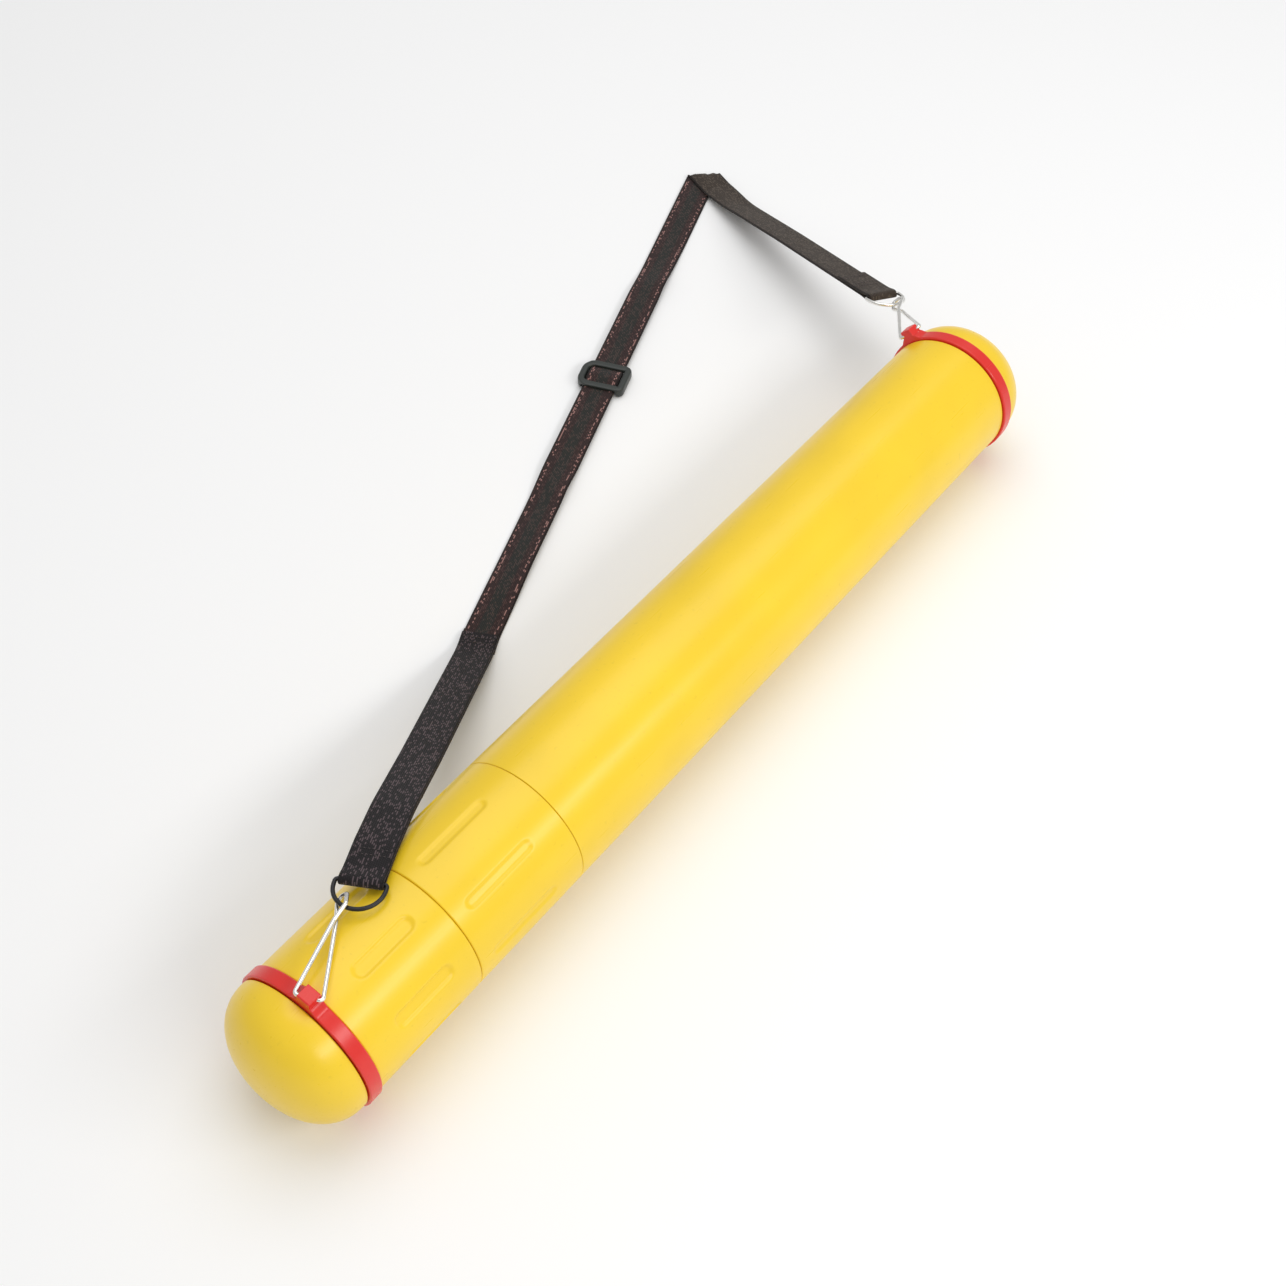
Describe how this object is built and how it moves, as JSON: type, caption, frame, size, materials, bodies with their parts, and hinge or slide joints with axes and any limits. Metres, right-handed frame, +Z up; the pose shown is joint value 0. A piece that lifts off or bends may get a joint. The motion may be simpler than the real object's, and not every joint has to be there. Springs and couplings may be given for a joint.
{
  "type": "telescopic carrying tube",
  "caption": "Telescopic plastic carrying tube with domed ends, a locking collar, strap rings on wire clips and an adjustable webbing shoulder strap.",
  "frame": {"origin": "on the surface the tube lies on, under the middle of the footprint that the tube and its strap take up", "axes": "+X along the tube from the cap end to the far end, +Z up, the strap lies on the +Y side"},
  "size_m": [0.739, 0.3418, 0.09],
  "materials": {
    "tube_plastic": "semi-gloss moulded plastic",
    "inner_plastic": "plain moulded plastic",
    "ring_plastic": "semi-gloss moulded plastic",
    "seal_rubber": "matt rubber",
    "clip_wire": "bright plated wire",
    "ring_wire": "bright plated wire",
    "webbing": "woven webbing with ribbed edges",
    "slider_plastic": "moulded plastic"
  },
  "bodies": {
    "outer": {"outer_tube": "tube_plastic", "far_dome": "tube_plastic", "collar_seat": "inner_plastic", "brake_ring": "inner_plastic", "strap_long_run": "webbing", "strap_back_run": "webbing"},
    "lock_collar": {"lock_collar": "tube_plastic"},
    "inner": {"inner_tube": "tube_plastic", "grip_sleeve": "tube_plastic", "guide_ring": "inner_plastic", "strap_doubled": "webbing"},
    "cap": {"near_dome": "tube_plastic", "cap_seal": "seal_rubber"},
    "near_ring": {"near_strap_ring": "ring_plastic"},
    "near_clip": {"near_clip": "clip_wire"},
    "near_d_ring": {"near_d_ring": "ring_wire", "near_strap_end": "webbing"},
    "far_ring": {"far_strap_ring": "ring_plastic"},
    "far_clip": {"far_clip": "clip_wire"},
    "far_d_ring": {"far_d_ring": "ring_wire", "far_strap_end": "webbing"},
    "slider": {"strap_slider": "slider_plastic"}
  },
  "joints": [
    {"name": "tube_extend", "type": "slide", "parent": "outer", "child": "inner", "axis": [-1, 0, 0], "range_m": [0, 0.35]},
    {"name": "lock_collar_turn", "type": "hinge", "parent": "outer", "child": "lock_collar", "pos_m": [-0.22251, -0.12939, 0.0415], "axis": [1, 0, 0], "range_deg": [0, 90]},
    {"name": "cap_pull", "type": "slide", "parent": "inner", "child": "cap", "axis": [-1, 0, 0], "range_m": [0, 0.15]},
    {"name": "near_ring_turn", "type": "hinge", "parent": "inner", "child": "near_ring", "pos_m": [-0.33551, -0.12939, 0.0415], "axis": [1, 0, 0], "range_deg": [-8, 8]},
    {"name": "near_clip_swing", "type": "hinge", "parent": "near_ring", "child": "near_clip", "pos_m": [-0.33551, -0.13651, 0.08644], "axis": [0.4504, -0.8819, -0.1397], "range_deg": [0, 20]},
    {"name": "near_d_ring_swing", "type": "hinge", "parent": "near_clip", "child": "near_d_ring", "pos_m": [-0.29172, -0.11406, 0.08585], "axis": [0.0199, -0.9994, 0.0276], "range_deg": [0, 15]},
    {"name": "far_ring_turn", "type": "hinge", "parent": "outer", "child": "far_ring", "pos_m": [0.22649, -0.12939, 0.0415], "axis": [1, 0, 0], "range_deg": [-8, 8]},
    {"name": "far_clip_swing", "type": "hinge", "parent": "far_ring", "child": "far_clip", "pos_m": [0.22649, -0.09612, 0.07253], "axis": [0.6592, -0.5128, 0.55], "range_deg": [0, 20]},
    {"name": "far_d_ring_swing", "type": "hinge", "parent": "far_clip", "child": "far_d_ring", "pos_m": [0.25867, -0.06818, 0.06001], "axis": [0.9404, -0.2564, -0.2233], "range_deg": [0, 15]},
    {"name": "slider_move", "type": "slide", "parent": "outer", "child": "slider", "axis": [0.9354, 0.3537, 0], "range_m": [-0.07, 0.07]}
  ]
}
